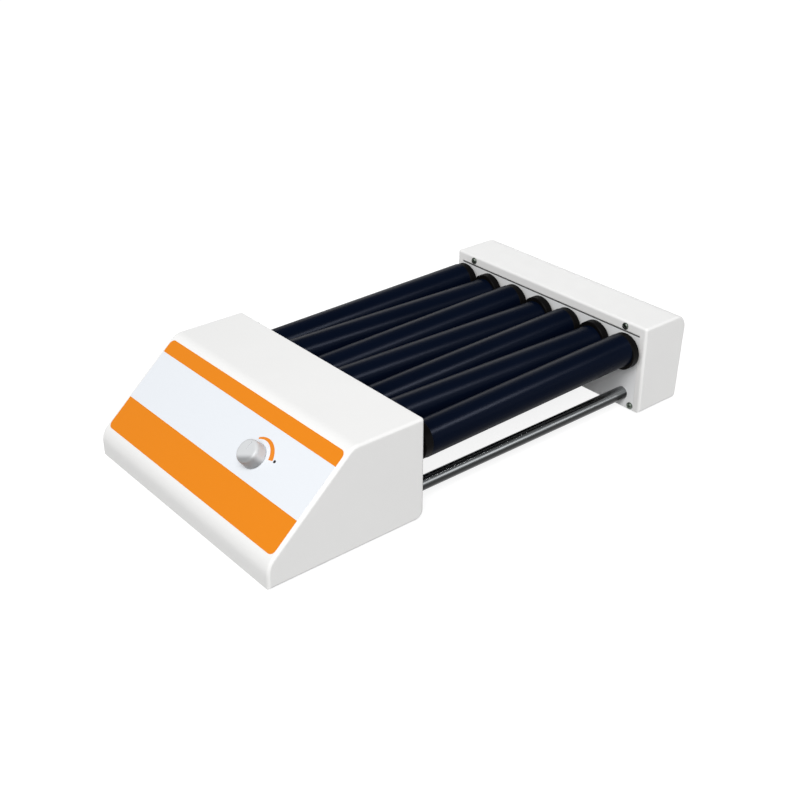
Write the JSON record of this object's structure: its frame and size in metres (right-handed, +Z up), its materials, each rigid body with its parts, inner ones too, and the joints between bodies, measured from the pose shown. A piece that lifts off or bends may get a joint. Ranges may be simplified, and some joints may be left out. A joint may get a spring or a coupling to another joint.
{
  "type": "tube rotator",
  "caption": "Bench tube rotator with a wedge-shaped control head, parallel rocking rollers, chromed tie rods and an end housing.",
  "frame": {"origin": "on the floor plane under the feet, below the middle of the whole machine", "axes": "+X across the rollers to the right as seen from the panel, +Y along the rollers away from the panel, +Z up"},
  "size_m": [0.25, 0.4612, 0.0928],
  "materials": {
    "housing": "satin",
    "bearing_plate": "satin powder coat",
    "base_plate": "zinc plated",
    "overlay": "printed film",
    "knob": "satin",
    "tube": "semi gloss",
    "hub": "satin",
    "pulley": "turned",
    "belt": "matte",
    "bush": "turned bronze",
    "rod": "polished",
    "fastener": "plated",
    "shaft": "ground",
    "motor": "satin",
    "board": "solder mask",
    "electrical": "satin",
    "rubber": "matte"
  },
  "bodies": {
    "frame": {"head_cover": "housing", "head_base_plate": "base_plate", "drive_bearing_plate": "bearing_plate", "front_overlay": "overlay", "potentiometer_body": "motor", "potentiometer_nut": "fastener", "control_board": "board", "board_standoffs": "fastener", "motor_body": "motor", "motor_gearbox": "motor", "motor_bracket": "base_plate", "drive_belt": "belt", "link_belts": "belt", "drive_bearings": "bush", "power_inlet": "electrical", "switch_frame": "electrical", "head_screws": "fastener", "rubber_feet": "rubber", "left_tie_rod": "rod", "right_tie_rod": "rod", "tie_rod_nuts": "fastener", "end_cover": "housing", "end_bearing_plate": "bearing_plate", "end_base_plate": "base_plate", "idle_bearings": "bush", "end_cover_screws": "fastener"},
    "speed_control": {"speed_knob": "knob", "potentiometer_shaft": "shaft"},
    "power_rocker": {"switch_rocker": "electrical"},
    "motor_rotor": {"motor_shaft": "shaft", "motor_pulley": "pulley"},
    "roller_1": {"roller_1_tube": "tube", "roller_1_drive_hub": "hub", "roller_1_idle_hub": "hub", "roller_1_pulley": "pulley"},
    "roller_2": {"roller_2_tube": "tube", "roller_2_drive_hub": "hub", "roller_2_idle_hub": "hub", "roller_2_pulley": "pulley"},
    "roller_3": {"roller_3_tube": "tube", "roller_3_drive_hub": "hub", "roller_3_idle_hub": "hub", "roller_3_pulley": "pulley"},
    "roller_4": {"roller_4_tube": "tube", "roller_4_drive_hub": "hub", "roller_4_idle_hub": "hub", "roller_4_pulley": "pulley"},
    "roller_5": {"roller_5_tube": "tube", "roller_5_drive_hub": "hub", "roller_5_idle_hub": "hub", "roller_5_pulley": "pulley"},
    "roller_6": {"roller_6_tube": "tube", "roller_6_drive_hub": "hub", "roller_6_idle_hub": "hub", "roller_6_pulley": "pulley"},
    "roller_7": {"roller_7_tube": "tube", "roller_7_drive_hub": "hub", "roller_7_idle_hub": "hub", "roller_7_pulley": "pulley"}
  },
  "joints": [
    {"name": "speed_knob_turn", "type": "hinge", "parent": "frame", "child": "speed_control", "pos_m": [0.0468, -0.18604, 0.06218], "axis": [0, 0.6618, -0.7497], "range_deg": [0, 300]},
    {"name": "power_rocker_tip", "type": "hinge", "parent": "frame", "child": "power_rocker", "pos_m": [-0.1215, -0.13265, 0.0385], "axis": [0, -1, 0], "range_deg": [0, 14]},
    {"name": "roller_1_spin", "type": "hinge", "parent": "frame", "child": "roller_1", "pos_m": [-0.105, 0, 0.062], "axis": [0, 1, 0], "continuous": true},
    {"name": "roller_2_spin", "type": "hinge", "parent": "frame", "child": "roller_2", "pos_m": [-0.07, 0, 0.062], "axis": [0, 1, 0], "continuous": true},
    {"name": "roller_3_spin", "type": "hinge", "parent": "frame", "child": "roller_3", "pos_m": [-0.035, 0, 0.062], "axis": [0, 1, 0], "continuous": true},
    {"name": "roller_4_spin", "type": "hinge", "parent": "frame", "child": "roller_4", "pos_m": [0, 0, 0.062], "axis": [0, 1, 0], "continuous": true},
    {"name": "roller_5_spin", "type": "hinge", "parent": "frame", "child": "roller_5", "pos_m": [0.035, 0, 0.062], "axis": [0, 1, 0], "continuous": true},
    {"name": "roller_6_spin", "type": "hinge", "parent": "frame", "child": "roller_6", "pos_m": [0.07, 0, 0.062], "axis": [0, 1, 0], "continuous": true},
    {"name": "roller_7_spin", "type": "hinge", "parent": "frame", "child": "roller_7", "pos_m": [0.105, 0, 0.062], "axis": [0, 1, 0], "continuous": true},
    {"name": "motor_spin", "type": "hinge", "parent": "frame", "child": "motor_rotor", "pos_m": [0, -0.115, 0.0285], "axis": [0, 1, 0], "continuous": true}
  ],
  "couplings": [
    {"joint": "roller_1_spin", "follows": "roller_4_spin", "ratio": 1},
    {"joint": "roller_2_spin", "follows": "roller_4_spin", "ratio": 1},
    {"joint": "roller_3_spin", "follows": "roller_4_spin", "ratio": 1},
    {"joint": "roller_5_spin", "follows": "roller_4_spin", "ratio": 1},
    {"joint": "roller_6_spin", "follows": "roller_4_spin", "ratio": 1},
    {"joint": "roller_7_spin", "follows": "roller_4_spin", "ratio": 1},
    {"joint": "motor_spin", "follows": "roller_4_spin", "ratio": 1.5}
  ]
}
